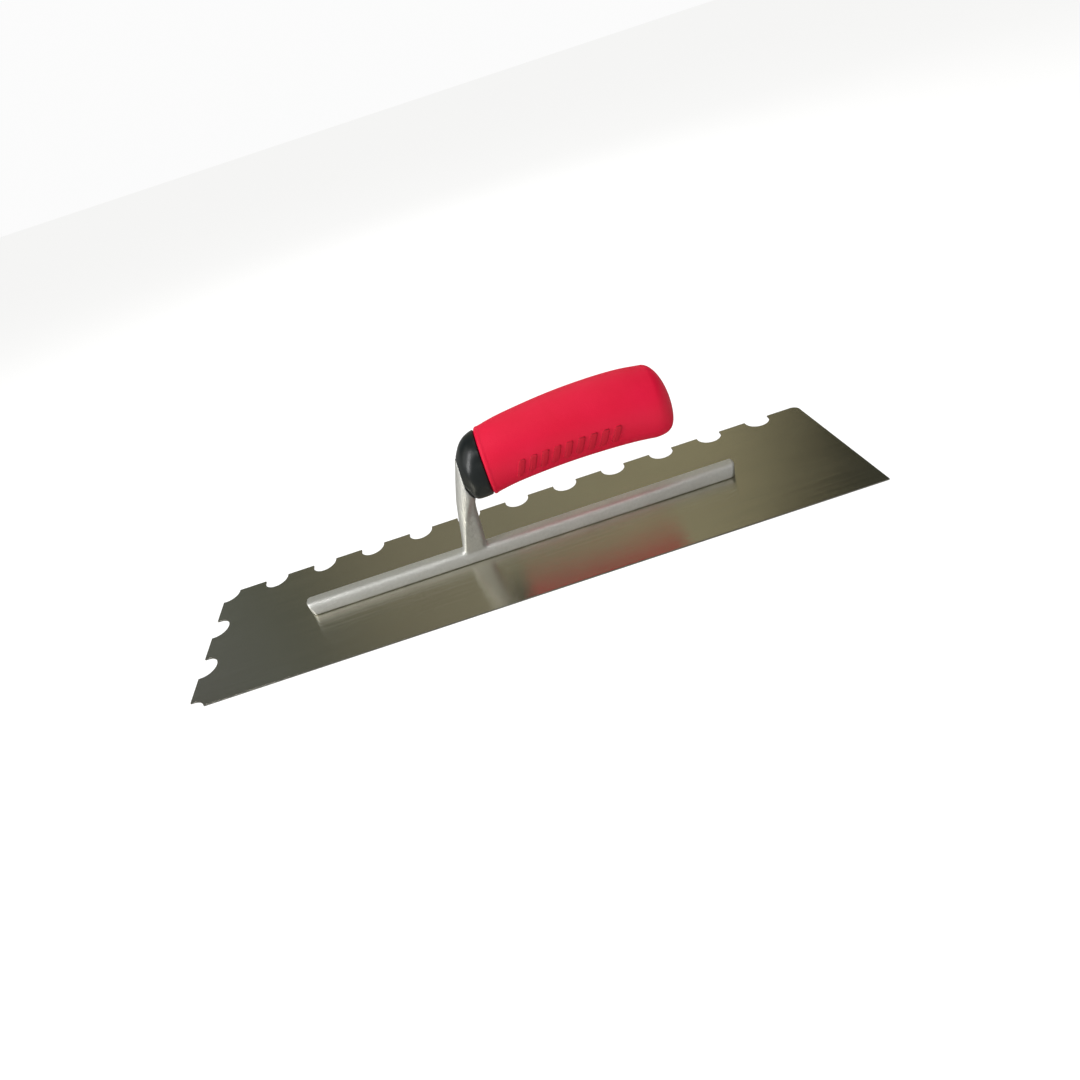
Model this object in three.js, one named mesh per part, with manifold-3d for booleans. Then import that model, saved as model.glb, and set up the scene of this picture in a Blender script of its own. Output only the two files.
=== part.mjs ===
// A notched trowel: a thin steel blade with U-shaped notches along one long edge and one end,
// a cast aluminium mounting riveted to it, and a two-part handle pushed onto the mounting's tang.
//
// Millimetres. X runs along the blade, Y across it towards the notched edge, and Z up.
// The origin is the middle of the blade's underside. The end with notches is at -X.

import * as THREE from "three";
import { mergeVertices } from "three/addons/utils/BufferGeometryUtils.js";
import Module from "manifold-3d";

const wasm = await Module();
wasm.setup();

// ---- Driving dimensions ------------------------------------------------------------------

const INCH = 25.4;
const BLADE = { length: 16 * INCH, width: 4 * INCH, thickness: 0.9, cornerRadius: 4.5 };
const NOTCH = { width: 0.625 * INCH, depth: 0.375 * INCH };
const EDGE_NOTCHES = { count: 11, pitch: 34.13, firstFromCorner: 36.2 };
const END_NOTCHES = { count: 2, pitch: 34.4, firstFromCorner: 35.7 };
const CORNER_NOTCH = { fromEnd: 1.9, fromEdge: 1.0 };

const BAR = { length: 273.5, width: 14, height: 7.8, offsetY: 2, endLength: 5.5 };
const BAR_ROUNDNESS = 4; // exponent of the superellipse that rounds the bar's section
const BAR_TAPER = 0.3; // how much narrower the bar gets from its base to its top
const BAR_STEPS = 24;

const RIVETS = { count: 8, pitch: 36.5, headRadius: 3.0, shankRadius: 2.0, height: 5.2 };
const COUNTERSINK = { start: 0.2, end: 0.8 }; // heights between which a head narrows to its shank

const FACE_GAP = 0.1; // between two flat faces that touch
const FIT_GAP = 0.3; // between a piece and the hole or sleeve around it

// The shank's level sections, as heights above the blade and distances along X. Each section
// has a rounded front from `front` to `edge`, straight sides to `side` and a rounded `rear`.
const SHANK_LEVELS = [
  { z: 3, front: -37.0, edge: -35.4, edgeHalf: 4.6, side: -24.3, sideHalf: 4.6, rear: -21.6 },
  { z: 9, front: -35.9, edge: -34.2, edgeHalf: 4.7, side: -23.8, sideHalf: 4.6, rear: -21.1 },
  { z: 20, front: -33.4, edge: -30.5, edgeHalf: 5.5, side: -22.4, sideHalf: 4.8, rear: -20.1 },
  { z: 32, front: -31.0, edge: -26.2, edgeHalf: 6.9, side: -21.9, sideHalf: 5.2, rear: -19.2 },
  { z: 38, front: -29.7, edge: -23.6, edgeHalf: 7.7, side: -21.2, sideHalf: 6.0, rear: -18.2 },
  { z: 42, front: -28.7, edge: -21.8, edgeHalf: 8.3, side: -19.6, sideHalf: 7.2, rear: -16.5 },
  { z: 47, front: -27.2, edge: -20.6, edgeHalf: 8.9, side: -18.4, sideHalf: 8.4, rear: -15.5 },
  { z: 53, front: -25.3, edge: -19.4, edgeHalf: 9.0, side: -18.2, sideHalf: 8.6, rear: -15.5 },
  { z: 59, front: -23.3, edge: -18.8, edgeHalf: 8.2, side: -18.0, sideHalf: 7.8, rear: -16.0 },
  { z: 64, front: -21.7, edge: -18.6, edgeHalf: 6.2, side: -18.0, sideHalf: 5.8, rear: -16.8 },
  { z: 67.5, front: -20.6, edge: -18.6, edgeHalf: 3.2, side: -18.2, sideHalf: 3.0, rear: -17.4 },
];
const SHANK_STEPS = 30;
const FRONT_STEPS = 12;
const REAR_STEPS = 6;

// The handle's stations along X: the height of its middle above the blade, and its half height.
const WIDTH_RATIO = 0.88; // the handle's width over its height
const COLLAR_STATIONS = [
  { x: -19.9, middle: 57.0, half: 10.8 },
  { x: -18.2, middle: 57.0, half: 13.8 },
  { x: -15.8, middle: 57.4, half: 16.8 },
  { x: -12.3, middle: 58.7, half: 18.5 },
  { x: -8.4, middle: 59.7, half: 19.2 },
  { x: -6.2, middle: 60.1, half: 19.3 },
];
const GRIP_STATIONS = [
  { x: -5.9, middle: 60.2, half: 19.7 },
  { x: 5.3, middle: 62.6, half: 19.9 },
  { x: 17, middle: 64.1, half: 20.1 },
  { x: 40, middle: 65.8, half: 20.6 },
  { x: 63, middle: 66.0, half: 21.0 },
  { x: 80, middle: 65.1, half: 21.1 },
  { x: 91, middle: 63.6, half: 21.0 },
];
const GRIP_END = { length: 12.0, drop: 6.3, roundness: 0.72, flat: 0.35 };
const GRIP_WALL = 2.8;
const TANG_ENDS = [
  { x: -21, middle: 54.5, height: 11, width: 9 },
  { x: 74, middle: 62, height: 8, width: 6.5 },
];
const TANG_CORNER = { radius: 2, steps: 4 };
const RING_STEPS = 40; // points round the handle
const RIVET_STEPS = 24;

// ---- Materials ---------------------------------------------------------------------------

const polishedSteel = () =>
  new THREE.MeshStandardMaterial({ color: 0x77715c, roughness: 0.25, metalness: 1 });
const castAluminium = () =>
  new THREE.MeshStandardMaterial({ color: 0xa3a39a, roughness: 0.45, metalness: 1 });
const rivetSteel = () =>
  new THREE.MeshStandardMaterial({ color: 0x8c8a82, roughness: 0.35, metalness: 1 });
const blackPlastic = () =>
  new THREE.MeshStandardMaterial({ color: 0x232b2e, roughness: 0.3, metalness: 0 });
const redRubber = () =>
  new THREE.MeshStandardMaterial({ color: 0xe01b3c, roughness: 0.6, metalness: 0 });

// ---- Solids and meshes -------------------------------------------------------------------

// A closed geometry as a solid that can be joined to others and cut by them.
function solid(geometry) {
  const bare = geometry.clone();
  bare.deleteAttribute("normal");
  bare.deleteAttribute("uv");
  const merged = mergeVertices(bare, 1e-4);
  return new wasm.Manifold(
    new wasm.Mesh({
      numProp: 3,
      vertProperties: merged.attributes.position.array,
      triVerts: Uint32Array.from(merged.index.array),
    }),
  );
}

// A solid as a named mesh.
function piece(name, shape, material) {
  const { vertProperties, triVerts } = shape.getMesh();
  const geometry = new THREE.BufferGeometry();
  geometry.setAttribute("position", new THREE.BufferAttribute(vertProperties, 3));
  geometry.setIndex(new THREE.BufferAttribute(triVerts, 1));
  geometry.computeVertexNormals();
  const mesh = new THREE.Mesh(geometry, material);
  mesh.name = name;
  return mesh;
}

// A closed skin over rings with the same number of points, with a flat fan over each end ring.
// Seen against the direction from the first ring to the last, each ring runs anticlockwise.
function skin(rings) {
  const size = rings[0].length;
  const centre = (ring) =>
    ring.reduce((sum, point) => sum.add(point), new THREE.Vector3()).divideScalar(size);
  const points = [...rings.flat(), centre(rings[0]), centre(rings.at(-1))];
  const firstCentre = points.length - 2;
  const lastCentre = points.length - 1;
  const lastRing = (rings.length - 1) * size;
  const index = [];
  for (let i = 0; i < size; i++) {
    const next = (i + 1) % size;
    index.push(firstCentre, next, i);
    index.push(lastCentre, lastRing + i, lastRing + next);
    for (let ring = 0; ring < lastRing; ring += size) {
      index.push(ring + i, ring + next, ring + size + next);
      index.push(ring + i, ring + size + next, ring + size + i);
    }
  }
  return new THREE.BufferGeometry().setFromPoints(points).setIndex(index);
}

// ---- Blade -------------------------------------------------------------------------------

const HALF_LENGTH = BLADE.length / 2;
const HALF_WIDTH = BLADE.width / 2;
const NOTCH_RADIUS = NOTCH.width / 2;
const NOTCH_CENTRE = NOTCH.depth - NOTCH_RADIUS; // how far inside the edge its arc is centred

const rivetX = (i) => (i - (RIVETS.count - 1) / 2) * RIVETS.pitch;

// The blade's outline, anticlockwise from the plain corner at +X.
function bladeOutline() {
  const outline = new THREE.Shape();
  const corner = BLADE.cornerRadius;
  outline.moveTo(HALF_LENGTH, -HALF_WIDTH);
  outline.lineTo(HALF_LENGTH, HALF_WIDTH - corner);
  outline.absarc(HALF_LENGTH - corner, HALF_WIDTH - corner, corner, 0, Math.PI / 2, false);
  for (let i = EDGE_NOTCHES.count - 1; i >= 0; i--) {
    const x = -HALF_LENGTH + EDGE_NOTCHES.firstFromCorner + i * EDGE_NOTCHES.pitch;
    outline.lineTo(x + NOTCH_RADIUS, HALF_WIDTH);
    outline.absarc(x, HALF_WIDTH - NOTCH_CENTRE, NOTCH_RADIUS, 0, Math.PI, true);
    outline.lineTo(x - NOTCH_RADIUS, HALF_WIDTH);
  }
  const { fromEnd, fromEdge } = CORNER_NOTCH;
  outline.absarc(
    -HALF_LENGTH + fromEnd,
    HALF_WIDTH - fromEdge,
    NOTCH_RADIUS,
    Math.asin(fromEdge / NOTCH_RADIUS),
    -Math.PI / 2 - Math.asin(fromEnd / NOTCH_RADIUS),
    true,
  );
  for (let i = 0; i < END_NOTCHES.count; i++) {
    const y = HALF_WIDTH - END_NOTCHES.firstFromCorner - i * END_NOTCHES.pitch;
    outline.lineTo(-HALF_LENGTH, y + NOTCH_RADIUS);
    outline.absarc(-HALF_LENGTH + NOTCH_CENTRE, y, NOTCH_RADIUS, Math.PI / 2, -Math.PI / 2, true);
    outline.lineTo(-HALF_LENGTH, y - NOTCH_RADIUS);
  }
  // The last notch of the end is cut through by the plain edge.
  const last = HALF_WIDTH - END_NOTCHES.firstFromCorner - END_NOTCHES.count * END_NOTCHES.pitch;
  const cut = Math.asin((-HALF_WIDTH - last) / NOTCH_RADIUS);
  outline.lineTo(-HALF_LENGTH, last + NOTCH_RADIUS);
  outline.absarc(-HALF_LENGTH + NOTCH_CENTRE, last, NOTCH_RADIUS, Math.PI / 2, cut, true);
  return outline;
}

// A rivet, or with a gap the hole that it fills: a flat countersunk head at the blade's
// underside, and a shank that ends inside the bar.
function rivetShape(gap) {
  const head = RIVETS.headRadius + gap;
  const shank = RIVETS.shankRadius + gap;
  const profile = [
    [0, -gap],
    [head, -gap],
    [head, COUNTERSINK.start],
    [shank, COUNTERSINK.end],
    [shank, RIVETS.height + gap],
    [0, RIVETS.height + gap],
  ].map(([x, y]) => new THREE.Vector2(x, y));
  return solid(new THREE.LatheGeometry(profile, RIVET_STEPS).rotateX(Math.PI / 2));
}

const rivetHoles = () =>
  Array.from({ length: RIVETS.count }, (_, i) =>
    rivetShape(FIT_GAP).translate([rivetX(i), BAR.offsetY, 0]),
  );

function blade() {
  const plate = new THREE.ExtrudeGeometry(bladeOutline(), {
    depth: BLADE.thickness,
    bevelEnabled: false,
    curveSegments: 8,
  });
  const drilled = rivetHoles().reduce((shape, hole) => shape.subtract(hole), solid(plate));
  return piece("blade", drilled, polishedSteel());
}

// ---- Mounting: the bar, the shank and the tang in one casting ------------------------------

// The bar's section: the upper half of a superellipse on a flat base, drawn in towards its top.
function barSection() {
  const power = (value) => Math.sign(value) * Math.abs(value) ** (2 / BAR_ROUNDNESS);
  const points = Array.from({ length: BAR_STEPS + 1 }, (_, i) => {
    const angle = (Math.PI * i) / BAR_STEPS;
    const rise = power(Math.sin(angle));
    const side = power(Math.cos(angle)) * (1 - BAR_TAPER * rise);
    return new THREE.Vector2((BAR.width / 2) * side, BAR.height * rise);
  });
  return new THREE.Shape(points);
}

// The bar along the blade. Its ends are round in plan.
function bar() {
  const length = new THREE.ExtrudeGeometry(barSection(), {
    depth: BAR.length,
    bevelEnabled: false,
  });
  length.translate(0, 0, -BAR.length / 2);
  length.rotateX(Math.PI / 2);
  length.rotateZ(Math.PI / 2);
  const straight = BAR.length / 2 - BAR.endLength;
  const reach = BAR.width / 2 + FACE_GAP;
  const plan = new THREE.Shape();
  plan.absellipse(straight, 0, BAR.endLength, reach, -Math.PI / 2, Math.PI / 2);
  plan.absellipse(-straight, 0, BAR.endLength, reach, Math.PI / 2, (3 * Math.PI) / 2);
  const ends = new THREE.ExtrudeGeometry(plan, {
    depth: 2 * BAR.height,
    bevelEnabled: false,
    curveSegments: 8,
  });
  ends.translate(0, 0, -BAR.height / 2);
  return solid(length).intersect(solid(ends));
}

// One level section of the shank. Its front is an arc of a circle between two sharp edges.
function shankRing({ z, front, edge, edgeHalf, side, sideHalf, rear }) {
  const ring = [];
  const bulge = edge - front;
  const radius = (edgeHalf ** 2 + bulge ** 2) / (2 * bulge);
  const reach = Math.asin(Math.min(1, edgeHalf / radius));
  for (let i = 0; i <= FRONT_STEPS; i++) {
    const angle = reach * (1 - (2 * i) / FRONT_STEPS);
    ring.push(
      new THREE.Vector3(front + radius * (1 - Math.cos(angle)), radius * Math.sin(angle), z),
    );
  }
  for (let i = 0; i <= REAR_STEPS; i++) {
    const angle = -Math.PI / 2 + (Math.PI * i) / REAR_STEPS;
    ring.push(
      new THREE.Vector3(side + (rear - side) * Math.cos(angle), sideHalf * Math.sin(angle), z),
    );
  }
  return ring;
}

// The sections between the given ones, on smooth curves through them.
function shank() {
  const sizes = Object.keys(SHANK_LEVELS[0]).filter((size) => size !== "z");
  const curves = sizes.map(
    (size) =>
      new THREE.SplineCurve(SHANK_LEVELS.map((level) => new THREE.Vector2(level.z, level[size]))),
  );
  const rings = Array.from({ length: SHANK_STEPS + 1 }, (_, i) => {
    const points = curves.map((curve) => curve.getPoint(i / SHANK_STEPS));
    const level = Object.fromEntries(sizes.map((size, k) => [size, points[k].y]));
    return shankRing({ ...level, z: points[0].x });
  });
  return solid(skin(rings));
}

// The tang, or with a gap its bore in the handle: a tapered bar with rounded corners.
function tang(gap) {
  const rings = TANG_ENDS.map(({ x, middle, height, width }, end) => {
    const ring = [];
    for (const [sideY, sideZ] of [[1, 1], [-1, 1], [-1, -1], [1, -1]]) {
      const start = Math.atan2(sideZ, sideY) - Math.PI / 4;
      for (let i = 0; i <= TANG_CORNER.steps; i++) {
        const angle = start + ((Math.PI / 2) * i) / TANG_CORNER.steps;
        const reach = TANG_CORNER.radius + gap;
        ring.push(
          new THREE.Vector3(
            x + (end ? gap : -gap),
            sideY * (width / 2 - TANG_CORNER.radius) + reach * Math.cos(angle),
            middle + sideZ * (height / 2 - TANG_CORNER.radius) + reach * Math.sin(angle),
          ),
        );
      }
    }
    return ring;
  });
  return solid(skin(rings));
}

function mounting() {
  const cast = bar()
    .add(shank())
    .subtract(collarSolid(FIT_GAP))
    .add(tang(0))
    .translate([0, BAR.offsetY, BLADE.thickness + FACE_GAP]);
  const drilled = rivetHoles().reduce((shape, hole) => shape.subtract(hole), cast);
  return piece("mounting", drilled, castAluminium());
}

// ---- Handle --------------------------------------------------------------------------------

// An upright elliptical ring of the handle, grown outwards by `grow`.
function handleRing({ x, middle, half }, grow = 0) {
  return Array.from({ length: RING_STEPS }, (_, i) => {
    const angle = (2 * Math.PI * i) / RING_STEPS;
    return new THREE.Vector3(
      x,
      (WIDTH_RATIO * half + grow) * Math.cos(angle),
      middle + (half + grow) * Math.sin(angle),
    );
  });
}

// Stations on a smooth curve through the given ones.
function smoothStations(stations, steps) {
  const curve = new THREE.CatmullRomCurve3(
    stations.map(({ x, middle, half }) => new THREE.Vector3(x, middle, half)),
  );
  return curve.getPoints(steps).map(({ x, y, z }) => ({ x, middle: y, half: z }));
}

// Stations of the rounded end that follows `last`, pulled in by `inset`. The last one is a
// little short of the tip, where the end is flat.
function endStations(last, inset, steps) {
  const { length, drop, roundness, flat } = GRIP_END;
  return Array.from({ length: steps }, (_, i) => {
    const angle = ((Math.PI / 2) * (i + 1)) / (steps + flat);
    return {
      x: last.x + (length - inset) * Math.sin(angle),
      middle: last.middle - drop * Math.sin(angle) ** 2,
      half: last.half * Math.cos(angle) ** roundness,
    };
  });
}

// The outside of the collar, grown by `gap` and then moved forward by it.
function collarSolid(gap) {
  const stations = smoothStations(COLLAR_STATIONS, 10);
  const rings = stations.map((station) => handleRing({ ...station, x: station.x - gap }, gap));
  return solid(skin(rings));
}

// The core inside the grip, or with a gap the hollow that it fills.
function stemSolid(gap) {
  const inner = smoothStations(GRIP_STATIONS, 14).map((station) => ({
    ...station,
    half: station.half - GRIP_WALL,
  }));
  const front = { ...inner[0], x: COLLAR_STATIONS.at(-1).x - 1 };
  const rear = endStations(inner.at(-1), GRIP_WALL, 6);
  const rings = [front, ...inner, ...rear].map((station) => handleRing(station, gap));
  return solid(skin(rings));
}

const placeHandle = (shape) =>
  shape.translate([0, BAR.offsetY, BLADE.thickness + FACE_GAP]);

function handleCore() {
  const core = collarSolid(0).add(stemSolid(0)).subtract(tang(FIT_GAP));
  return piece("handle_core", placeHandle(core), blackPlastic());
}

function gripSleeve() {
  const outer = smoothStations(GRIP_STATIONS, 18);
  const stations = [...outer, ...endStations(outer.at(-1), 0, 9)];
  const skinned = solid(skin(stations.map((station) => handleRing(station))));
  const sleeve = skinned.subtract(stemSolid(FIT_GAP));
  return piece("grip_sleeve", placeHandle(sleeve), redRubber());
}

// ---- Assembly ------------------------------------------------------------------------------

const trowel = new THREE.Group();
trowel.add(blade(), mounting(), handleCore(), gripSleeve());
for (let i = 0; i < RIVETS.count; i++) {
  const rivet = piece(`rivet_${i + 1}`, rivetShape(0), rivetSteel());
  rivet.position.set(rivetX(i), BAR.offsetY, 0);
  trowel.add(rivet);
}

export default trowel;
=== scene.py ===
"""A notched trowel on a pale studio floor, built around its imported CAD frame.

Metres, in the CAD frame: X runs along the blade, Y across it towards the notched edge, Z up.
The blade, the mounting and the two parts of the handle get fine meshes that follow their CAD
nodes, and the rivets keep theirs.
"""

from math import atan2, cos, degrees, exp, pi, radians, sin

import bmesh
import bpy
import numpy as np
from mathutils import Matrix, Vector, noise


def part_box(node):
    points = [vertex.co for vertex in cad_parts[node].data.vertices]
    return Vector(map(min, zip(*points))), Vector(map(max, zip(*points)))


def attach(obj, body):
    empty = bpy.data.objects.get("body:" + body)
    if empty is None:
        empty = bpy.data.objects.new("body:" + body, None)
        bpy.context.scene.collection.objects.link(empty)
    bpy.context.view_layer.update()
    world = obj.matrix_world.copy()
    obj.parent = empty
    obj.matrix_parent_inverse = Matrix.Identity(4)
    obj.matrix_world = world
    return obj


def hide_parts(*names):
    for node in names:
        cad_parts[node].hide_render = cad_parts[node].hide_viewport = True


MM = 0.001

# ---- Studio ----------------------------------------------------------------------------------

# The camera's place, its turns in degrees and its focal length in millimetres.
CAMERA_PLACE = (0.0108, -0.3190, 0.2317)
CAMERA_HEADING = 0.12
CAMERA_PITCH = 36.14
CAMERA_ROLL = -18.38
CAMERA_LENS = 21.39
SENSOR_WIDTH = 36

FLOOR_RADIUS = 20.0
FLOOR_DROP = 0.3 * MM
FLOOR_PAINT = 0.30
FLOOR_GLOW = 0.86
BACKDROP = 0.97  # how bright the background is to the camera

# Name, place, width, height, power in watts and whether mirrors see it. Every light faces AIM.
AIM = Vector((0, 0, 0.03))
LIGHTS = (
    ("overhead", (-0.10, 0.00, 1.20), 1.0, 1.0, 5.0, False),
    ("key_left", (-1.05, -0.42, 0.55), 0.20, 1.1, 7.0, True),
    ("key_wide", (-1.15, -0.20, 0.55), 1.3, 1.1, 3.5, True),
    ("fill_front", (-0.10, -0.85, 1.00), 0.9, 0.9, 3.2, False),
    ("fill_back", (0.10, 0.90, 0.85), 0.9, 0.9, 4.0, False),
    ("strip_low", (-0.10, -1.40, 0.36), 2.4, 0.36, 1.4, True),
    ("strip_high", (-0.10, -0.70, 1.00), 1.6, 0.12, 1.9, True),
)

# What mirrors see round the studio: turns in degrees from +Y towards +X, repeated every
# PANEL_SPAN degrees, and the colour of the panel there.
PANEL_SPAN = 90
PANELS = (
    (-45.0, (0.060, 0.062, 0.050)),
    (-38.0, (0.160, 0.168, 0.185)),
    (-34.8, (0.168, 0.178, 0.192)),
    (-31.5, (0.162, 0.178, 0.155)),
    (-25.0, (0.108, 0.114, 0.094)),
    (-20.0, (0.225, 0.212, 0.156)),
    (-12.0, (0.255, 0.240, 0.180)),
    (0.0, (0.290, 0.275, 0.200)),
    (17.6, (0.350, 0.325, 0.220)),
    (26.0, (0.330, 0.305, 0.210)),
    (26.6, (0.075, 0.066, 0.040)),
    (32.4, (0.056, 0.058, 0.045)),
    (45.0, (0.055, 0.057, 0.045)),
)
PANEL_DIM = 0.35  # how bright the panels are away from +Y
PANEL_FADE = (0.1, 0.7)  # cosines of the headings between which they dim
PANEL_FOOT = (0, 6)  # degrees up, between which the ground goes over to the panels
PANEL_HEAD = (64, 80)  # degrees up, between which the panels go over to the sky
SKY = (0.75, 0.75, 0.73, 1)
GROUND = (0.30, 0.30, 0.28, 1)

# ---- Shapes ----------------------------------------------------------------------------------

BLADE_EDGE = 0.10 * MM  # how far the blade's edges are broken
BLADE_MAP = 10  # map units to a metre, in the blade's map of its grinding direction

# The casting: its grid of cells, and how often its corners are drawn to their neighbours.
CAST_CELL = 0.45 * MM
CAST_ROUNDS = 5
CAST_WAVE = 0.05 * MM
CAST_WAVES = 260  # to a metre
CAST_BASE = 0.5 * MM  # below this height the bar stays flat on the blade
CROWN_SHARE = 0.4  # the bar's crown is measured on this share of the casting, at its rear,
CROWN_END = 20 * MM  # but not this near its end,
CROWN_LIMIT = 15 * MM  # nor above this height, where the tang is
FOOT = (2 * MM, 4 * MM)  # heights above the bar at which the shank's foot is measured
FILLET_ROUNDS = 34
FILLET_REACH = 5.0 * MM
FILLET_WEIGHT = 1.6  # above one, so that the fillet is at full strength near the foot

# The handle, which is lofted through upright elliptical rings.
WIDTH_RATIO = 0.88  # its width over its height
FIT_GAP = 0.3 * MM  # between the core and the grip round it
SAME_PLACE = 0.05 * MM  # rings closer than this are at the same place
CORE_SIDES = 128
COLLAR_STEP = 0.35 * MM
COLLAR_RIM = 0.6 * MM
STEM_STEP = 3 * MM
BORE_CORNER = 2.3 * MM
BORE_SHARE = 0.85  # the bore stays within this share of the core's outline
BORE_END = 2 * MM  # and ends before this much of the core
GRIP_SIDES = 168
GRIP_STEP = 0.45 * MM
CAVITY_STEP = 6 * MM
LIP = 1.1 * MM  # the radius of the grip's front edge
LIP_BEAD = 0.30 * MM

# The raised ribs on both sides of the grip, and the band round each side that holds them.
RIBS = 9
RIB_FIRST = 13.0 * MM
RIB_PITCH = 6.8 * MM
RIB_WIDTH = 3.6 * MM
RIB_HEIGHT = 10.4 * MM
RIB_SLANT = 0.32
RIB_CORNER = 1.0 * MM
RIB_RISE = 0.90 * MM
RIB_SOFT = 0.45 * MM
RIB_MARGIN = 5 * MM
BAND_ANGLE = 16  # degrees below level
BAND_HALF = 26  # degrees
BAND_FADE = 1.5  # degrees
BAND_DENSITY = 3.6  # how many more angles fall in the band than elsewhere


# ---- Frame and camera ------------------------------------------------------------------------

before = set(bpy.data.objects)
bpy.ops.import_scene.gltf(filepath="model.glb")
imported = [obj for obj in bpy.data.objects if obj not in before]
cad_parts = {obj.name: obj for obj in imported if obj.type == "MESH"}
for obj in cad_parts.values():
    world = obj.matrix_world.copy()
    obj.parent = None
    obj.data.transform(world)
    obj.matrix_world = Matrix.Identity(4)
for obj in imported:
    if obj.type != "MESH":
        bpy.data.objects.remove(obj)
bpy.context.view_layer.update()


def add_camera():
    camera = bpy.data.objects.new("camera", bpy.data.cameras.new("camera"))
    camera.data.lens = CAMERA_LENS
    camera.data.sensor_width = SENSOR_WIDTH
    camera.data.clip_start = 0.01
    camera.data.clip_end = 100
    turn = (
        Matrix.Rotation(radians(CAMERA_HEADING), 4, "Z")
        @ Matrix.Rotation(radians(90 - CAMERA_PITCH), 4, "X")
        @ Matrix.Rotation(radians(CAMERA_ROLL), 4, "Z")
    )
    camera.matrix_world = Matrix.Translation(CAMERA_PLACE) @ turn
    bpy.context.scene.collection.objects.link(camera)
    bpy.context.scene.camera = camera


# ---- Materials -------------------------------------------------------------------------------


class Finish:
    """A procedural material around one Principled shader."""

    def __init__(self, name, **settings):
        self.material = bpy.data.materials.new(name)
        self.material.use_nodes = True
        self.tree = self.material.node_tree
        self.tree.nodes.clear()
        self.shader = self.add("ShaderNodeBsdfPrincipled")
        output = self.add("ShaderNodeOutputMaterial")
        self.join(self.shader.outputs["BSDF"], output.inputs["Surface"])
        self.place = self.add("ShaderNodeTexCoord").outputs["Object"]
        for socket, value in settings.items():
            self.shader.inputs[socket.replace("_", " ")].default_value = value

    def add(self, kind, **values):
        node = self.tree.nodes.new(kind)
        for key, value in values.items():
            setattr(node, key, value)
        return node

    def join(self, source, target):
        self.tree.links.new(source, target)

    def noise(self, scale, stretch=(1, 1, 1), detail=3, roughness=0.5):
        """Noise with `scale` cells per metre, drawn out where `stretch` is under one."""
        mapping = self.add("ShaderNodeMapping")
        mapping.inputs["Scale"].default_value = [scale * part for part in stretch]
        self.join(self.place, mapping.inputs["Vector"])
        texture = self.add("ShaderNodeTexNoise")
        texture.inputs["Scale"].default_value = 1
        texture.inputs["Detail"].default_value = detail
        texture.inputs["Roughness"].default_value = roughness
        self.join(mapping.outputs["Vector"], texture.inputs["Vector"])
        return texture.outputs["Fac"]

    def pits(self, scale):
        """Distance to the nearest of scattered points, `scale` of them to a metre."""
        texture = self.add("ShaderNodeTexVoronoi")
        texture.inputs["Scale"].default_value = scale
        self.join(self.place, texture.inputs["Vector"])
        return texture.outputs["Distance"]

    def spread(self, source, low, high, start=0.3, end=0.7):
        """A value that goes from low to high as source goes from start to end."""
        node = self.add("ShaderNodeMapRange")
        for socket, value in zip(("From Min", "From Max", "To Min", "To Max"), (start, end, low, high)):
            node.inputs[socket].default_value = value
        self.join(source, node.inputs["Value"])
        return node.outputs["Result"]

    def blend(self, source, first, second):
        """A colour between first and second. Either may be a socket."""
        node = self.add("ShaderNodeMix", data_type="RGBA")
        self.join(source, node.inputs["Factor"])
        for socket, value in ((node.inputs[6], first), (node.inputs[7], second)):
            if isinstance(value, tuple):
                socket.default_value = (*value, 1)
            else:
                self.join(value, socket)
        return node.outputs[2]

    def paint(self, colour):
        self.join(colour, self.shader.inputs["Base Color"])

    def rough(self, value):
        self.join(value, self.shader.inputs["Roughness"])

    def relief(self, *layers):
        """Bump layers, each a height source with its depth in metres."""
        normal = None
        for source, depth in layers:
            node = self.add("ShaderNodeBump")
            node.inputs["Strength"].default_value = 1
            node.inputs["Distance"].default_value = depth
            self.join(source, node.inputs["Height"])
            if normal:
                self.join(normal, node.inputs["Normal"])
            normal = node.outputs["Normal"]
        self.join(normal, self.shader.inputs["Normal"])


def blade_steel():
    """Ground and polished sheet steel, which draws reflections out across the grinding lines."""
    finish = Finish("blade_steel", Metallic=1.0, Anisotropic=1.0)
    tangent = finish.add("ShaderNodeTangent", direction_type="UV_MAP", uv_map="across")
    finish.join(tangent.outputs["Tangent"], finish.shader.inputs["Tangent"])
    lines = finish.noise(5200, (0.006, 1, 1), detail=4)
    streaks = finish.noise(420, (0.03, 1, 1), detail=3)
    clouds = finish.noise(22, detail=3)
    tone = finish.blend(finish.spread(clouds, 0, 1), (0.570, 0.545, 0.455), (0.600, 0.575, 0.480))
    tone = finish.blend(finish.spread(streaks, 0, 0.04), tone, (0.500, 0.480, 0.405))
    finish.paint(tone)
    finish.rough(finish.spread(lines, 0.15, 0.16))
    finish.relief((finish.noise(5200, (0.002, 1, 0.002), detail=0), 0.045 * MM))
    return finish.material


def cut_steel():
    """The blade's sheared edge, duller and darker than its faces."""
    finish = Finish("cut_steel", Metallic=1.0)
    grain = finish.noise(1500, (1, 1, 0.2), detail=2)
    finish.paint(finish.blend(grain, (0.22, 0.21, 0.18), (0.38, 0.37, 0.32)))
    finish.rough(finish.spread(grain, 0.40, 0.55))
    finish.relief((grain, 0.02 * MM))
    return finish.material


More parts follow.
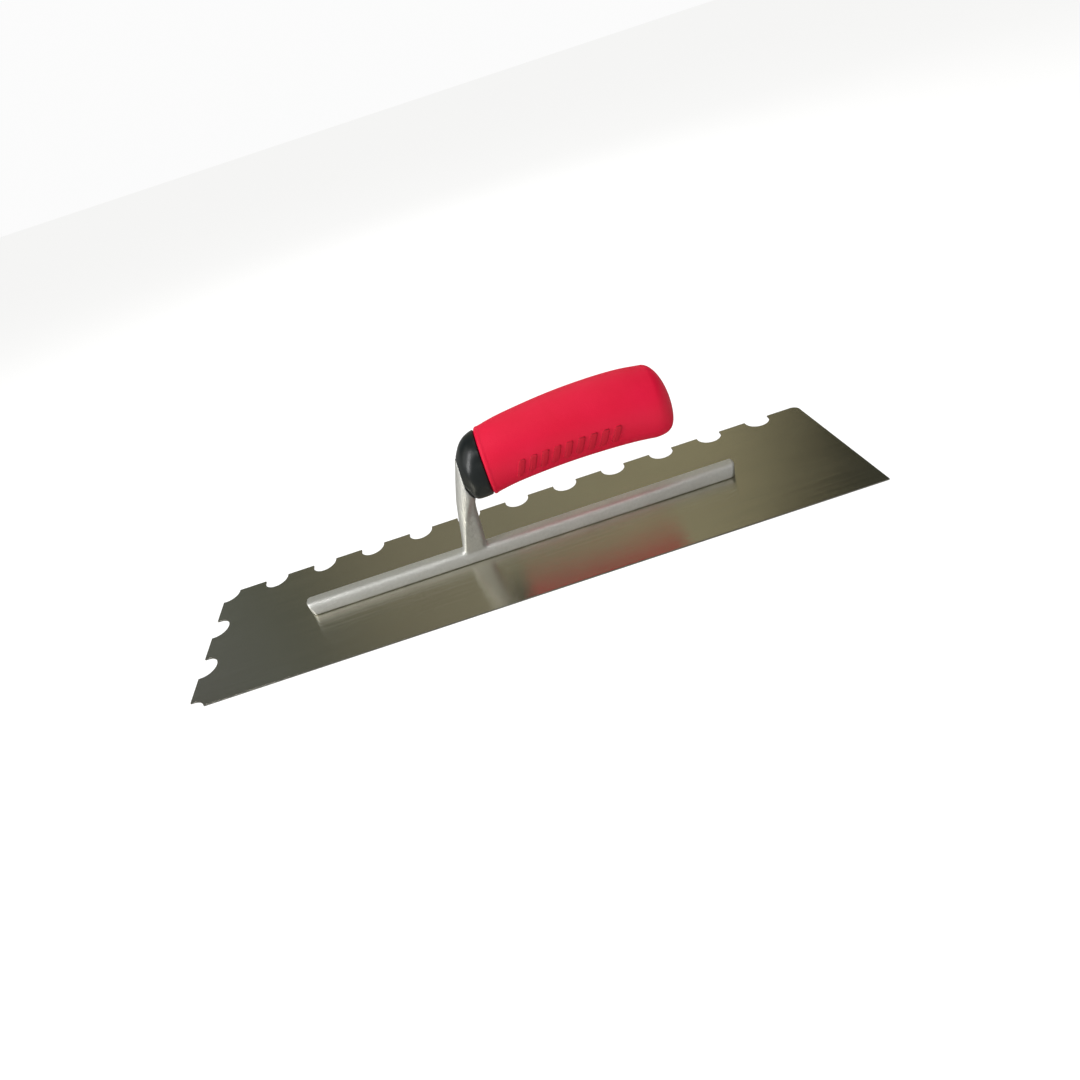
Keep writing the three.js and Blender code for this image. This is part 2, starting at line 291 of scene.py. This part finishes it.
def cast_aluminium():
    """Tumbled cast aluminium: satin, with a fine grain, a few darker, rougher patches, and painted
    shade in its hollows and pits.
    """
    finish = Finish("cast_aluminium", Metallic=0.83)
    grain = finish.noise(1400, detail=4, roughness=0.6)
    patches = finish.noise(90, (0.5, 1, 1), detail=4, roughness=0.55)
    pits = finish.pits(650)
    tone = finish.blend(finish.spread(patches, 0, 1), (0.68, 0.68, 0.65), (0.77, 0.77, 0.74))
    lumps = finish.noise(520, detail=3, roughness=0.6)
    # Painted shade: the hollows between the lumps, and the pits below, are painted darker.
    tone = finish.blend(finish.spread(lumps, 0.35, 0), tone, (0.57, 0.57, 0.54))
    tone = finish.blend(finish.spread(pits, 0.5, 0, 0.02, 0.14), tone, (0.42, 0.41, 0.38))
    finish.paint(tone)
    finish.rough(finish.spread(patches, 0.52, 0.44))
    dents = finish.spread(pits, 0, 1, 0.02, 0.2)
    finish.relief((lumps, 0.28 * MM), (grain, 0.06 * MM), (dents, 0.03 * MM))
    return finish.material


def rivet_steel():
    """Rivet heads ground flush with the blade."""
    finish = Finish("rivet_steel", Metallic=1.0)
    lines = finish.noise(4200, (0.02, 1, 1), detail=3)
    finish.paint(finish.blend(lines, (0.42, 0.41, 0.38), (0.56, 0.55, 0.51)))
    finish.rough(finish.spread(lines, 0.30, 0.42))
    finish.relief((lines, 0.01 * MM))
    return finish.material


def black_plastic():
    """Moulded black plastic, semi-gloss, with a faint orange peel."""
    finish = Finish("black_plastic", Specular_IOR_Level=0.45)
    peel = finish.noise(700, detail=2)
    scuffs = finish.noise(160, detail=4, roughness=0.65)
    finish.paint(finish.blend(scuffs, (0.006, 0.0085, 0.009), (0.009, 0.012, 0.0125)))
    finish.rough(finish.spread(scuffs, 0.28, 0.32))
    finish.relief((peel, 0.02 * MM))
    return finish.material


def red_rubber():
    """Soft-touch red rubber with a fine moulded grain, deeper in colour on its ribs, with painted shade
    on the ribs' sloping sides.
    """
    finish = Finish("red_rubber", Specular_IOR_Level=0.25)
    grain = finish.pits(1900)
    fine = finish.noise(2600, detail=3, roughness=0.6)
    clouds = finish.noise(45, detail=3)
    raised = finish.add("ShaderNodeAttribute", attribute_name="raised").outputs["Fac"]
    tone = finish.blend(finish.spread(clouds, 0, 1), (0.670, 0.003, 0.033), (0.710, 0.004, 0.042))
    tone = finish.blend(finish.spread(raised, 0, 0.6, 0, 1), tone, (0.400, 0.003, 0.015))
    # Painted shade: the ribs' sloping sides, where they meet the sleeve, are painted darker.
    edge = finish.add("ShaderNodeAttribute", attribute_name="edge").outputs["Fac"]
    tone = finish.blend(finish.spread(edge, 0, 0.95, 0, 1), tone, (0.200, 0.002, 0.008))
    finish.paint(tone)
    finish.rough(finish.spread(fine, 0.50, 0.62))
    finish.relief((grain, 0.05 * MM), (fine, 0.03 * MM))
    return finish.material


# ---- Mesh helpers ----------------------------------------------------------------------------


def finished(name, mesh, materials, node):
    """Makes a mesh a piece of the trowel that stands for a CAD node."""
    for item in materials:
        mesh.materials.append(item)
    piece = bpy.data.objects.new(name, mesh)
    bpy.context.scene.collection.objects.link(piece)
    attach(piece, "root")
    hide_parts(node)


def evaluated(mesh, add_modifiers):
    """The mesh after the modifiers that add_modifiers puts on an object."""
    helper = bpy.data.objects.new("helper", mesh)
    bpy.context.scene.collection.objects.link(helper)
    add_modifiers(helper.modifiers)
    graph = bpy.context.evaluated_depsgraph_get()
    result = bpy.data.meshes.new_from_object(helper.evaluated_get(graph))
    bpy.data.objects.remove(helper)
    return result


def clean_copy(node):
    """A CAD node's mesh with shared corners and whole flat faces."""
    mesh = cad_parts[node].data.copy()
    mesh.materials.clear()
    shape = bmesh.new()
    shape.from_mesh(mesh)
    bmesh.ops.remove_doubles(shape, verts=shape.verts, dist=1e-6)
    bmesh.ops.dissolve_limit(
        shape, angle_limit=radians(0.5), verts=shape.verts, edges=shape.edges
    )
    shape.to_mesh(mesh)
    shape.free()
    return mesh


def corners(mesh):
    """The mesh's corners as an array with a row for each."""
    flat = np.zeros(len(mesh.vertices) * 3)
    mesh.vertices.foreach_get("co", flat)
    return flat.reshape(-1, 3)


def relaxed(places, edges, weights, rounds):
    """Each corner moved towards the mean of its neighbours, as far as its weight says."""
    count = len(places)
    ends = np.concatenate([edges[:, 0], edges[:, 1]])
    others = np.concatenate([edges[:, 1], edges[:, 0]])
    neighbours = np.maximum(np.bincount(ends, minlength=count), 1)
    for _ in range(rounds):
        mean = np.stack(
            [
                np.bincount(ends, weights=places[others, axis], minlength=count) / neighbours
                for axis in range(3)
            ],
            axis=1,
        )
        places = places + 0.5 * weights[:, None] * (mean - places)
    return places


def grid_mesh(name, rings):
    """A closed mesh over rings of points, with a fan over its first and last ring."""
    rings = np.asarray(rings)
    count, size, _ = rings.shape
    points = rings.reshape(-1, 3)
    middles = [rings[0].mean(axis=0), rings[-1].mean(axis=0)]
    first, last = len(points), len(points) + 1
    faces = []
    for i in range(size):
        j = (i + 1) % size
        faces.append((first, j, i))
        faces.append((last, (count - 1) * size + i, (count - 1) * size + j))
        for k in range(count - 1):
            low, high = k * size, (k + 1) * size
            faces.append((low + i, low + j, high + j, high + i))
    mesh = bpy.data.meshes.new(name)
    mesh.from_pydata(np.vstack([points, middles]).tolist(), [], faces)
    mesh.shade_smooth()
    return mesh


def loft_stations(node):
    """The rings that a lofted CAD node is made of: x, middle height and half height of each."""
    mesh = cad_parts[node].data
    places = corners(mesh)
    edges = np.array([edge.vertices[:] for edge in mesh.edges])
    start, end = places[edges[:, 0]], places[edges[:, 1]]
    found = []
    for x in np.unique(places[:, 0].round(6)):
        lowest, highest = np.minimum(start[:, 0], end[:, 0]), np.maximum(start[:, 0], end[:, 0])
        spans = (lowest <= x + 1e-6) & (highest >= x - 1e-6)
        length = np.where(spans, end[:, 0] - start[:, 0], 1)
        share = np.where(np.abs(length) > 1e-9, (x - start[:, 0]) / np.where(length, length, 1), 0)
        height = (start[:, 2] + share.clip(0, 1) * (end[:, 2] - start[:, 2]))[spans]
        own = places[np.abs(places[:, 0] - x) < 1e-6, 2]
        if own.max() > height.max() - 2e-6 and own.min() < height.min() + 2e-6:
            found.append((x, (own.max() + own.min()) / 2, (own.max() - own.min()) / 2))
    return np.array(found)


def smooth_stations(stations, step):
    """Stations about `step` apart on a smooth curve through the given ones."""
    curve = []
    padded = np.vstack([2 * stations[0] - stations[1], stations, 2 * stations[-1] - stations[-2]])
    for before, start, end, after in zip(padded, padded[1:], padded[2:], padded[3:]):
        knots = [0.0]
        for a, b in ((before, start), (start, end), (end, after)):
            knots.append(knots[-1] + max(np.linalg.norm(b - a), 1e-7) ** 0.5)
        pieces = max(1, round(np.linalg.norm(end - start) / step))
        for t in np.linspace(knots[1], knots[2], pieces, endpoint=False):
            a1 = ((knots[1] - t) * before + t * start) / knots[1]
            a2 = ((knots[2] - t) * start + (t - knots[1]) * end) / (knots[2] - knots[1])
            a3 = ((knots[3] - t) * end + (t - knots[2]) * after) / (knots[3] - knots[2])
            b1 = ((knots[2] - t) * a1 + t * a2) / knots[2]
            b2 = ((knots[3] - t) * a2 + (t - knots[1]) * a3) / (knots[3] - knots[1])
            curve.append(((knots[2] - t) * b1 + (t - knots[1]) * b2) / (knots[2] - knots[1]))
    curve.append(stations[-1])
    return np.array(curve)


HANDLE_Y = sum(corner.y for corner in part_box("grip_sleeve")) / 2  # the handle's middle plane


def handle_ring(station, angles, grow=0.0):
    """An upright elliptical ring of the handle, grown outwards."""
    x, middle, half = station
    return np.stack(
        [
            np.full(len(angles), x),
            HANDLE_Y + (WIDTH_RATIO * half + grow) * np.cos(angles),
            middle + (half + grow) * np.sin(angles),
        ],
        axis=1,
    )


def rounding(radius, distance):
    """How far an edge rounded to a radius is drawn in, at a distance from its face."""
    return radius - (radius**2 - max(0.0, radius - distance) ** 2) ** 0.5


# ---- Pieces ----------------------------------------------------------------------------------


def add_blade():
    """The blade, with its edges just broken and a map that says which way it was ground."""

    def break_edges(modifiers):
        bevel = modifiers.new("edges", "BEVEL")
        bevel.width = BLADE_EDGE
        bevel.segments = 2
        bevel.limit_method = "ANGLE"
        bevel.angle_limit = radians(40)
        bevel.harden_normals = True

    source = clean_copy("blade")
    source.shade_smooth()
    mesh = evaluated(source, break_edges)
    mesh.name = "trowel_blade"
    mesh.materials.clear()
    layer = mesh.uv_layers.new(name="across")
    places = corners(mesh)
    loops = np.zeros(len(mesh.loops), int)
    mesh.loops.foreach_get("vertex_index", loops)
    layer.data.foreach_set("uv", (places[loops][:, [1, 0]] * BLADE_MAP).astype(np.float32).ravel())
    for face in mesh.polygons:
        level = abs(face.normal.z)
        face.material_index = 0 if level > 0.9 else 1
        face.use_smooth = level < 0.999
    finished("trowel_blade", mesh, [blade_steel(), cut_steel()], "blade")


def add_mounting():
    """The casting, with every edge rounded and a fillet where the shank stands on the bar."""

    def even_cells(modifiers):
        cells = modifiers.new("cells", "REMESH")
        cells.mode = "VOXEL"
        cells.voxel_size = CAST_CELL

    mesh = evaluated(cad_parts["mounting"].data.copy(), even_cells)
    mesh.name = "trowel_mounting"
    mesh.materials.clear()
    places = corners(mesh)
    edges = np.zeros(len(mesh.edges) * 2, int)
    mesh.edges.foreach_get("vertices", edges)
    edges = edges.reshape(-1, 2)
    everywhere = np.ones(len(places))
    places = relaxed(places, edges, everywhere, CAST_ROUNDS)

    x, z = places[:, 0], places[:, 2]
    crown = bar_crown(places)
    foot = x[(z > crown + FOOT[0]) & (z < crown + FOOT[1])]
    beside = np.maximum(0, np.maximum(foot.min() - x, x - foot.max()))
    away = np.hypot(beside, np.abs(z - crown))
    fillet = np.clip(FILLET_WEIGHT * (1 - away / FILLET_REACH), 0, 1)
    places = relaxed(places, edges, fillet, FILLET_ROUNDS)

    waves = np.array([noise.noise(Vector(place) * CAST_WAVES) for place in places])
    normals = np.zeros(len(places) * 3)
    mesh.vertices.foreach_set("co", places.ravel())
    mesh.update()
    mesh.vertices.foreach_get("normal", normals)
    outside = (places[:, 2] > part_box("mounting")[0].z + CAST_BASE)[:, None]
    places = places + outside * CAST_WAVE * waves[:, None] * normals.reshape(-1, 3)
    mesh.vertices.foreach_set("co", places.ravel())
    mesh.shade_smooth()
    mesh.update()
    finished("trowel_mounting", mesh, [cast_aluminium()], "mounting")


def bar_crown(places):
    """The height of the bar's crown, away from the shank and the bar's end."""
    low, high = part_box("mounting")
    x, z = places[:, 0], places[:, 2]
    clear = (x > high.x - CROWN_SHARE * (high.x - low.x)) & (x < high.x - CROWN_END)
    return z[clear & (z < low.z + CROWN_LIMIT)].max()


def rib_relief(x, height):
    """How far the grip's ribs stand up at x and a height along its side, from 0 to 1."""
    best = 0.0
    for i in range(RIBS):
        across = x - RIB_FIRST - i * RIB_PITCH - RIB_SLANT * height
        over_x = max(0.0, abs(across) - RIB_WIDTH / 2 + RIB_CORNER)
        over_y = max(0.0, abs(height) - RIB_HEIGHT / 2 + RIB_CORNER)
        outside = (over_x**2 + over_y**2) ** 0.5 - RIB_CORNER
        share = min(1.0, max(0.0, 0.5 - outside / RIB_SOFT))
        best = max(best, share * share * (3 - 2 * share))
    return best


def grip_angles():
    """Angles round the grip, closer together where the ribs are."""
    turns = np.linspace(0, 2 * pi, 4 * 360 + 1)
    density = np.full(len(turns), 1.0)
    for middle in (pi + radians(BAND_ANGLE), 2 * pi - radians(BAND_ANGLE)):
        distance = degrees(1) * np.abs(turns - middle)
        density += BAND_DENSITY / (1 + np.exp((distance - BAND_HALF) / BAND_FADE))
    total = np.concatenate([[0], np.cumsum((density[1:] + density[:-1]) / 2)])
    return np.interp(np.linspace(0, total[-1], GRIP_SIDES + 1)[:-1], total, turns)


def add_grip():
    """The rubber sleeve: a rounded front lip, ribs on both sides and a rounded end."""
    outer = smooth_stations(loft_stations("grip_sleeve"), GRIP_STEP)
    angles = grip_angles()
    front = outer[0, 0]
    first, last = RIB_FIRST - RIB_MARGIN, RIB_FIRST + RIBS * RIB_PITCH + RIB_MARGIN
    rings, raised = [], []
    for station in outer:
        behind = station[0] - front
        relief = np.zeros(len(angles))
        if first < station[0] < last:
            for k, angle in enumerate(angles):
                side = atan2(sin(angle), abs(cos(angle)))
                height = (side + radians(BAND_ANGLE)) * station[2]
                relief[k] = rib_relief(station[0], height)
        bead = LIP_BEAD * exp(-(((behind - 1.5 * LIP) / (0.7 * LIP)) ** 2))
        grow = RIB_RISE * relief + bead - rounding(LIP, behind)
        rings.append(handle_ring(station, angles, grow))
        raised.append(relief)
    cavity = smooth_stations(inner_stations(), CAVITY_STEP)
    inside = [handle_ring(station, angles) for station in cavity]
    rings = inside[::-1] + rings
    raised = [np.zeros(len(angles))] * len(inside) + raised
    mesh = grid_mesh("rubber_grip", rings)
    values = np.concatenate([*raised, [0, 0]])
    # The edge share peaks on the ribs' sloping sides, where red_rubber paints shade.
    for title, share in (("raised", values), ("edge", 4 * values * (1 - values))):
        layer = mesh.attributes.new(title, "FLOAT", "POINT")
        layer.data.foreach_set("value", share.astype(np.float32))
    finished("rubber_grip", mesh, [red_rubber()], "grip_sleeve")


def inner_stations():
    """The grip's hollow: the core's rings inside it, grown by the gap between the two."""
    core = loft_stations("handle_core")
    inside = core[core[:, 0] > grip_front()].copy()
    inside[:, 2] += FIT_GAP
    return inside


def grip_front():
    """Where the grip begins, less a hair, so that the core's ring there counts as inside it."""
    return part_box("grip_sleeve")[0].x - SAME_PLACE


def bore_rings(angles):
    """The core's bore for the tang, from its blind end to the collar's front face."""
    stations = loft_stations("handle_core")
    places = corners(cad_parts["handle_core"].data)
    x, y, z = places.T
    middle = np.interp(x, stations[:, 0], stations[:, 1])
    half = np.interp(x, stations[:, 0], stations[:, 2])
    reach = np.hypot((y - HANDLE_Y) / (WIDTH_RATIO * half), (z - middle) / half)
    bore = places[(reach < BORE_SHARE) & (x < stations[-1, 0] - BORE_END)]
    rings = []
    for end in (bore[:, 0].max(), bore[:, 0].min()):
        outline = bore[np.abs(bore[:, 0] - end) < SAME_PLACE]
        low, high = outline.min(axis=0), outline.max(axis=0)
        centre, side = (low + high) / 2, (high - low) / 2 - BORE_CORNER
        ring = np.full((len(angles), 3), end)
        for axis, turn in ((1, np.cos(angles)), (2, np.sin(angles))):
            ring[:, axis] = centre[axis] + np.sign(turn) * side[axis] + BORE_CORNER * turn
        rings.append(ring)
    return rings


def add_core():
    """The black core: its collar shows in front of the grip, and its stem fills the grip."""
    angles = np.linspace(0, 2 * pi, CORE_SIDES + 1)[:-1] + pi / CORE_SIDES
    stations = loft_stations("handle_core")
    in_grip = stations[:, 0] > grip_front()
    collar, stem = stations[~in_grip], stations[in_grip]
    smooth = smooth_stations(collar, COLLAR_STEP)
    rings = bore_rings(angles)
    for station in smooth:
        tuck = rounding(COLLAR_RIM, smooth[-1, 0] - station[0])
        rings.append(handle_ring(station, angles, -tuck))
    rings += [handle_ring(station, angles) for station in smooth_stations(stem, STEM_STEP)]
    mesh = grid_mesh("black_core", rings)
    finished("black_core", mesh, [black_plastic()], "handle_core")


def add_rivets():
    """The rivets keep their CAD meshes."""
    steel = rivet_steel()
    for name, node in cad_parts.items():
        if name.startswith("rivet_"):
            node.data.materials.clear()
            node.data.materials.append(steel)


# ---- Studio pieces ---------------------------------------------------------------------------


def add_floor():
    """A wide pale floor that glows a little, as a light table does."""
    mesh = bpy.data.meshes.new("studio_floor")
    r = FLOOR_RADIUS
    mesh.from_pydata(
        [(-r, -r, -FLOOR_DROP), (r, -r, -FLOOR_DROP), (r, r, -FLOOR_DROP), (-r, r, -FLOOR_DROP)],
        [],
        [(0, 1, 2, 3)],
    )
    finish = Finish("studio_floor", Roughness=0.9, Specular_IOR_Level=0.0)
    finish.shader.inputs["Base Color"].default_value = (FLOOR_PAINT, FLOOR_PAINT, FLOOR_PAINT, 1)
    finish.shader.inputs["Emission Color"].default_value = (1, 1, 1, 1)
    finish.shader.inputs["Emission Strength"].default_value = FLOOR_GLOW
    mesh.materials.append(finish.material)
    floor = bpy.data.objects.new("studio_floor", mesh)
    floor.visible_glossy = False
    bpy.context.scene.collection.objects.link(floor)


def add_lights():
    for name, place, width, height, power, mirrored in LIGHTS:
        data = bpy.data.lights.new(name, "AREA")
        data.shape = "RECTANGLE"
        data.size = width
        data.size_y = height
        data.energy = power
        light = bpy.data.objects.new(name, data)
        light.location = place
        light.rotation_euler = (AIM - Vector(place)).to_track_quat("-Z", "Y").to_euler()
        light.visible_glossy = mirrored
        bpy.context.scene.collection.objects.link(light)


def add_world():
    """White to the camera. To everything else, dim panels all round under a bright ceiling."""
    world = bpy.data.worlds.new("studio")
    bpy.context.scene.world = world
    world.use_nodes = True
    tree = world.node_tree
    tree.nodes.clear()

    def add(kind, **values):
        node = tree.nodes.new(kind)
        for key, value in values.items():
            setattr(node, key, value)
        return node

    def math(operation, *values):
        node = add("ShaderNodeMath", operation=operation)
        for socket, value in zip(node.inputs, values):
            if isinstance(value, (int, float)):
                socket.default_value = value
            else:
                tree.links.new(value, socket)
        return node.outputs[0]

    split = add("ShaderNodeSeparateXYZ")
    tree.links.new(add("ShaderNodeTexCoord").outputs["Generated"], split.inputs[0])
    heading = math("ARCTAN2", split.outputs["X"], split.outputs["Y"])
    turn = math("MULTIPLY", heading, degrees(1) / PANEL_SPAN)
    turn = math("WRAP", math("ADD", turn, 0.5), 1.0, 0.0)
    panels = add("ShaderNodeValToRGB")
    ramp = panels.color_ramp
    while len(ramp.elements) < len(PANELS):
        ramp.elements.new(0.5)
    for element, (angle, colour) in zip(ramp.elements, PANELS):
        element.position = angle / PANEL_SPAN + 0.5
        element.color = (*colour, 1)
    tree.links.new(turn, panels.inputs[0])

    height = math("MULTIPLY", math("ARCSINE", split.outputs["Z"]), degrees(1))

    def mixed(band, first, second):
        share = add("ShaderNodeMapRange", interpolation_type="SMOOTHSTEP")
        share.inputs["From Min"].default_value = band[0]
        share.inputs["From Max"].default_value = band[1]
        tree.links.new(height, share.inputs["Value"])
        node = add("ShaderNodeMix", data_type="RGBA")
        tree.links.new(share.outputs["Result"], node.inputs["Factor"])
        for socket, value in ((node.inputs[6], first), (node.inputs[7], second)):
            if isinstance(value, tuple):
                socket.default_value = value
            else:
                tree.links.new(value, socket)
        return node.outputs[2]

    facing = add("ShaderNodeMapRange", interpolation_type="SMOOTHSTEP")
    for socket, value in zip(("From Min", "From Max", "To Min"), (*PANEL_FADE, PANEL_DIM)):
        facing.inputs[socket].default_value = value
    tree.links.new(math("COSINE", heading), facing.inputs["Value"])
    dimmed = add("ShaderNodeVectorMath", operation="SCALE")
    tree.links.new(panels.outputs["Color"], dimmed.inputs[0])
    tree.links.new(facing.outputs["Result"], dimmed.inputs["Scale"])
    around = mixed(PANEL_FOOT, GROUND, dimmed.outputs[0])
    around = mixed(PANEL_HEAD, around, SKY)
    path = add("ShaderNodeLightPath")
    shown = add("ShaderNodeMixShader")
    studio = add("ShaderNodeBackground")
    white = add("ShaderNodeBackground")
    white.inputs["Color"].default_value = (1, 1, 1, 1)
    white.inputs["Strength"].default_value = BACKDROP
    tree.links.new(around, studio.inputs["Color"])
    tree.links.new(path.outputs["Is Camera Ray"], shown.inputs[0])
    tree.links.new(studio.outputs[0], shown.inputs[1])
    tree.links.new(white.outputs[0], shown.inputs[2])
    tree.links.new(shown.outputs[0], add("ShaderNodeOutputWorld").inputs["Surface"])


# ---- Assembly --------------------------------------------------------------------------------

add_camera()
add_blade()
add_mounting()
add_core()
add_grip()
add_rivets()
add_floor()
add_lights()
add_world()
bpy.context.scene.view_settings.view_transform = "Standard"
